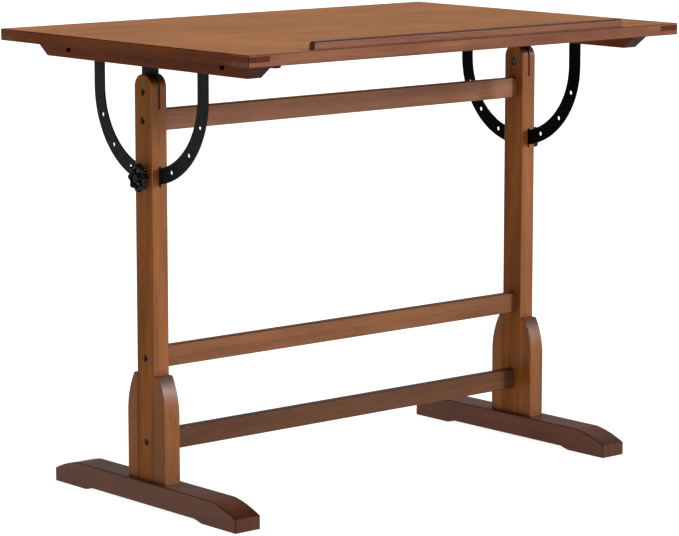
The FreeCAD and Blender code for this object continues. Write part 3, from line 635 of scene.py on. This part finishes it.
class TABLE_OT_steel(bpy.types.Operator):
    """Coat the arcs and plates and finish the plain fittings."""
    bl_idname = "table.steel"
    bl_label = "Steel parts"

    def execute(self, context):
        c = colours()
        finish(metal("black_coat", tuple(c.black), 0.0, 0.5, 900.0, 0.12, sheen=0.08),
               ["left_arc", "left_pivot_plate"])
        # painted shade: the right arc and plate get a darker copy of the black coat with less sheen
        painted_shade_black = tuple(v * SHADED_COAT for v in c.black)
        finish(metal("black_coat_shaded", painted_shade_black, 0.0, 0.5, 900.0, 0.12, sheen=0.01),
               ["right_arc", "right_pivot_plate"])
        finish(metal("zinc_plate", tuple(c.steel), 1.0, 0.3),
               ["rail_barrel_nuts", "ledge_guide_pins", "left_lock_washer", "right_lock_washer"])
        finish(metal("insert_brass", tuple(c.brass), 1.0, 0.28), ["lock_inserts", "foot_inserts"])
        finish(metal("black_oxide", tuple(c.oxide), 1.0, 0.42),
               ["rail_bolts", "pivot_bolts", "pivot_nuts", "bracket_screws", "batten_screws", "pocket_screws",
                "cleat_screws", "foot_bolts"])
        return {"FINISHED"}


class TABLE_OT_handwheels(bpy.types.Operator):
    """Cast the two lobed handwheels."""
    bl_idname = "table.handwheels"
    bl_label = "Handwheels"

    def execute(self, context):
        s = sizes()
        enamel = metal("wheel_enamel", tuple(colours().enamel), 0.0, 0.30, 260.0, 0.03, 0.3,
                       sheen=0.0, gloss=0.03)
        for side, sign in (("left", -1.0), ("right", 1.0)):
            node = side + "_handwheel"
            low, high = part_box(node)
            middle = (low + high) / 2
            inner = min(abs(low.x), abs(high.x))
            start = (sign * inner, middle.y, middle.z)
            long = abs(high.x - low.x)
            skins = [(aimed(v, start, (sign, 0, 0)), q, t) for v, q, t in self.casting(s, long)]
            wheel = piece(node + "_cast", skins, side + "_lock_screw", node, enamel, 60.0)
            blend = wheel.modifiers.new("casting", "REMESH")
            blend.mode = "VOXEL"
            blend.voxel_size = s.casting_grain
            blend.use_smooth_shade = True
            soften = wheel.modifiers.new("fillets", "SMOOTH")
            soften.factor = 0.6
            soften.iterations = 5
        return {"FINISHED"}

    def casting(self, s, long):
        """Rim, spokes and hub as closed skins.

        The rim is an ellipse carried round a circle. The lobe wave, a raised cosine with
        one crest a lobe, swells the ellipse and moves it outwards. A spoke is an ellipse
        carried along a radius with a raised cosine dip, and the hub is a turned form.
        """
        angle = np.linspace(0, TURN, 256, endpoint=False)[:, None]
        round_ = np.linspace(0, TURN, 28, endpoint=False)[None, :]
        wave = (0.5 + 0.5 * np.cos(s.wheel_lobes * angle)) ** 1.15
        wide = 0.0032 + 0.0014 * wave
        center = s.wheel_radius - 0.0046 - 0.0020 * (1 - wave)
        thick = s.rim_depth / 2 - 0.0014 * (1 - wave)
        middle = s.rim_depth / 2
        x = middle + thick * np.sin(round_)
        r = center + wide * np.cos(round_)
        rim = np.stack([x, r * np.cos(angle), r * np.sin(angle)], -1)
        skins = [loop(rim)]
        along = np.linspace(0.004, s.wheel_radius - 0.0060, 24)[:, None]
        share = (along - along.min()) / (along.max() - along.min())
        for number in range(s.wheel_spokes):
            a = TURN * number / s.wheel_spokes
            half_wide = 0.0027 + 0.0012 * (2 * share - 1) ** 2
            half_thick = 0.0024 + 0.0010 * (2 * share - 1) ** 2
            bow = middle - 0.0008 * np.sin(math.pi * share)
            across = half_wide * np.cos(round_)
            x = bow + half_thick * np.sin(round_)
            y = along * math.cos(a) - across * math.sin(a)
            z = along * math.sin(a) + across * math.cos(a)
            skins.append(tube(np.stack([x, y, z], -1)))
        deep = long - s.hub_start
        shares = ((0.0, 0.0072), (0.05, 0.0082), (0.42, 0.0085), (0.7, 0.0072), (0.86, 0.0062),
                  (0.96, 0.0060), (1.0, 0.0054))
        hub = [(s.hub_start + deep * part, radius) for part, radius in shares]
        skins.append(tube(turned(hub, 64)))
        return skins


class TABLE_OT_lock_studs(bpy.types.Operator):
    """Cut the threads of the two lock studs."""
    bl_idname = "table.lock_studs"
    bl_label = "Lock studs"

    def execute(self, context):
        s = sizes()
        zinc = metal("stud_zinc", tuple(colours().steel), 1.0, 0.26)
        for side, sign in (("left", -1.0), ("right", 1.0)):
            node = side + "_lock_stud"
            low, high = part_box(node)
            middle = (low + high) / 2
            inner, outer = sorted((abs(low.x), abs(high.x)))
            radius = (high.z - low.z) / 2
            tip = radius * 0.875
            step = s.tip_length
            plain = [(0, tip * 0.72), (0.0011, tip), (step, tip), (step + 0.0002, radius * 0.84)]
            body = threaded(step + 0.0002, outer - inner, radius, radius * 0.16, s.stud_pitch, 48, 12)
            rings = np.concatenate([turned(plain, 48), body])
            skin = tube(rings)
            start = (sign * inner, middle.y, middle.z)
            piece(node + "_cut", [(aimed(skin[0], start, (sign, 0, 0)), skin[1], skin[2])],
                  side + "_lock_screw", node, zinc)
        return {"FINISHED"}


class TABLE_OT_bolts(bpy.types.Operator):
    """Cut the socket-head bolts of the frame and the nuts of the pivots."""
    bl_idname = "table.bolts"
    bl_label = "Bolts"

    def execute(self, context):
        oxide = metal("bolt_oxide", tuple(colours().oxide), 1.0, 0.34, 500.0)
        for node, along in (("rail_bolts", "X"), ("pivot_bolts", "X"), ("foot_bolts", "Z")):
            skins = []
            for low, high in members(node, along):
                skins += self.bolt(low, high, along)
            piece(node + "_cut", skins, "frame", node, oxide)
        skins = []
        for low, high in members("pivot_nuts", "X"):
            long = high[0] - low[0]
            v, q, t = loop(hexagon_nut(0, long, (high[2] - low[2]), 0.003))
            seat = (low[0], (low[1] + high[1]) / 2, (low[2] + high[2]) / 2)
            skins.append((aimed(v, seat, (1, 0, 0)), q, t))
        piece("pivot_nuts_cut", skins, "frame", "pivot_nuts", oxide)
        return {"FINISHED"}

    def bolt(self, low, high, along):
        """Threaded shank and socket head of one bolt.

        The head points away from the middle of the table, or downwards.
        """
        middle = (low + high) / 2
        if along == "X":
            sign = math.copysign(1.0, middle[0])
            axis = (sign, 0, 0)
            start = (sign * min(abs(low[0]), abs(high[0])), middle[1], middle[2])
            length, radius = high[0] - low[0], (high[2] - low[2]) / 2
        else:
            axis = (0, 0, -1)
            start = (middle[0], middle[1], high[2])
            length, radius = high[2] - low[2], (high[0] - low[0]) / 2
        shank = threaded(0, length - BOLT_HEAD + 0.001, 0.003, 0.00045, sizes().bolt_pitch, 24, 6)
        cap = socket_head(length - BOLT_HEAD, length, radius, BOLT_FLATS, BOLT_SOCKET)
        return [(aimed(v, start, axis), q, t) for v, q, t in (tube(shank), tube(cap))]


class TABLE_OT_screws(bpy.types.Operator):
    """Cut the wood screws under the top."""
    bl_idname = "table.screws"
    bl_label = "Wood screws"

    def execute(self, context):
        oxide = metal("screw_oxide", tuple(colours().oxide), 1.0, 0.38, 700.0)
        slant = math.radians(POCKET_TILT)
        tilted = np.array([-math.cos(slant), 0.0, -math.sin(slant)])
        for node, along, thick, head_thick, head_high in (
                ("bracket_screws", "X", 0.004, 0.008, 0.0024), ("batten_screws", "Z", 0.004, 0.008, 0.0024),
                ("cleat_screws", "Z", 0.003, 0.006, 0.002), ("pocket_screws", "P", 0.004, 0.008, 0.0024)):
            skins = []
            for low, high in members(node, "X" if along == "P" else along):
                middle = (low + high) / 2
                if along == "X":
                    start = np.array([low[0], middle[1], middle[2]])
                    axis, length = (1, 0, 0), high[0] - low[0]
                elif along == "Z":
                    start = np.array([middle[0], middle[1], high[2]])
                    axis, length = (0, 0, -1), high[2] - low[2]
                else:
                    back = np.array([math.sin(slant), 0.0, math.cos(slant)]) * thick / 2
                    start = np.array([high[0], middle[1], high[2]]) - back
                    axis, length = tilted, POCKET_SCREW_LENGTH
                skins += self.screw(start, axis, length, thick, head_thick, head_high, along in "XP")
            piece(node + "_cut", skins, "top", node, oxide)
        return {"FINISHED"}

    def screw(self, start, axis, length, thick, head_thick, head_high, flat):
        """Threaded shank and driven head of one screw, from its tip at start to its head along the axis."""
        neck = length - head_high
        shank = threaded(0, neck + head_high * 0.3, thick / 2, thick * 0.13, sizes().screw_pitch, 20, 6)
        rise = head_high * 0.45 if flat else 0.0
        cap = driven_head(neck, length - rise, head_thick / 2, rise, flat)
        return [(aimed(v, start, axis), q, t) for v, q, t in (tube(shank), tube(cap))]


class TABLE_OT_stage(bpy.types.Operator):
    """Lay the floor, hang the lights and set the camera."""
    bl_idname = "table.stage"
    bl_label = "Stage"

    def execute(self, context):
        scene = context.scene
        st = scene.table_stage
        self.floor(st)
        world = bpy.data.worlds.new("room")
        world.use_nodes = True
        back = world.node_tree.nodes["Background"]
        back.inputs["Color"].default_value = (1.0, 0.995, 0.985, 1.0)
        back.inputs["Strength"].default_value = st.room_strength
        scene.world = world
        self.light("key", (3.0, -4.6, 2.0), 12.0, st.key_strength, (1.0, 0.985, 1.02))
        self.light("glint", (-4.0, -1.8, 2.6), 2.0, st.glint_strength, (1.0, 1.0, 1.0))
        self.light("overhead", (0.6, 0.4, 4.0), 70.0, st.top_strength, (1.0, 1.0, 1.0))
        camera = bpy.data.cameras.new("camera")
        camera.sensor_width = 36.0
        camera.lens = st.lens
        camera.clip_end = 200.0
        eye = bpy.data.objects.new("camera", camera)
        scene.collection.objects.link(eye)
        eye.location = st.eye
        eye.rotation_euler = (math.pi / 2 - st.dip, 0.0, -st.heading)
        scene.camera = eye
        scene.view_settings.view_transform = "Standard"
        return {"FINISHED"}

    def floor(self, st):
        """A flat disc of rings around the table, each ring's radius growing by a constant ratio."""
        a = np.linspace(0, TURN, 96, endpoint=False)
        r = np.geomspace(0.5, 60.0, 24)[:, None]
        points = np.stack([r * np.cos(a), r * np.sin(a), np.zeros((24, 96)) - 0.0005], -1)
        vertices, quads, _ = loop(points)
        quads = quads[: 23 * 96, ::-1]
        middle = np.stack([np.full(96, len(vertices)), np.arange(96), (np.arange(96) + 1) % 96], -1)
        mesh = bpy.data.meshes.new("studio_floor")
        mesh.from_pydata(vertices.tolist() + [[0, 0, -0.0005]], [], quads.tolist() + middle.tolist())
        n = Nodes("pale_floor")
        tone = n.spread(n.noise(n.place, 3.0, 3.0), 0.3, 0.7, 0.985, 1.0)
        pale = n.mix(1.0, tuple(st.floor_colour), n.combine_grey(tone), "MULTIPLY")
        n.link(pale, n.shader.inputs["Base Color"])
        n.shader.inputs["Roughness"].default_value = 0.9
        n.shader.inputs["Specular IOR Level"].default_value = 0.0
        n.shader.inputs["Emission Color"].default_value = (1.0, 1.0, 1.0, 1.0)
        n.shader.inputs["Emission Strength"].default_value = st.floor_glow
        mesh.materials.append(n.material)
        obj = bpy.data.objects.new("studio_floor", mesh)
        bpy.context.scene.collection.objects.link(obj)

    def light(self, name, place, spread, strength, colour):
        """Soft distant light shining from a place towards the origin, seen as a disc of the given angle."""
        data = bpy.data.lights.new(name, "SUN")
        data.angle = math.radians(spread)
        data.energy = strength
        data.color = colour
        lamp = bpy.data.objects.new(name, data)
        bpy.context.scene.collection.objects.link(lamp)
        lamp.rotation_euler = Vector(place).to_track_quat("Z", "Y").to_euler()


STEPS = (TABLE_OT_wood, TABLE_OT_steel, TABLE_OT_handwheels, TABLE_OT_lock_studs, TABLE_OT_bolts,
         TABLE_OT_screws, TABLE_OT_stage)


class TABLE_PT_panel(bpy.types.Panel):
    """Sidebar panel with every step and setting."""
    bl_idname = "TABLE_PT_panel"
    bl_label = "Drafting Table"
    bl_space_type = "VIEW_3D"
    bl_region_type = "UI"
    bl_category = "Drafting Table"

    def draw(self, context):
        for step in STEPS:
            self.layout.operator(step.bl_idname)
        for group in (context.scene.table_sizes, context.scene.table_colours, context.scene.table_stage):
            box = self.layout.box()
            for key in group.bl_rna.properties.keys():
                if key not in ("rna_type", "name"):
                    box.prop(group, key)


CLASSES = (TableSizes, TableColours, TableStage) + STEPS + (TABLE_PT_panel,)
GROUPS = (("table_sizes", TableSizes), ("table_colours", TableColours), ("table_stage", TableStage))


def register():
    """Add the classes and their settings."""
    for cls in CLASSES:
        bpy.utils.register_class(cls)
    for name, group in GROUPS:
        setattr(bpy.types.Scene, name, bpy.props.PointerProperty(type=group))


def unregister():
    """Take away the settings and the classes."""
    for name, _ in GROUPS:
        delattr(bpy.types.Scene, name)
    for cls in reversed(CLASSES):
        bpy.utils.unregister_class(cls)


def plain(bounds):
    """Bounds as plain lists of numbers."""
    return [[float(v) for v in corner] for corner in bounds]


def main():
    """Register and build every piece in order."""
    register()
    for step in STEPS:
        group, _, action = step.bl_idname.partition(".")
        getattr(getattr(bpy.ops, group), action)()


if __name__ == "__main__":
    main()
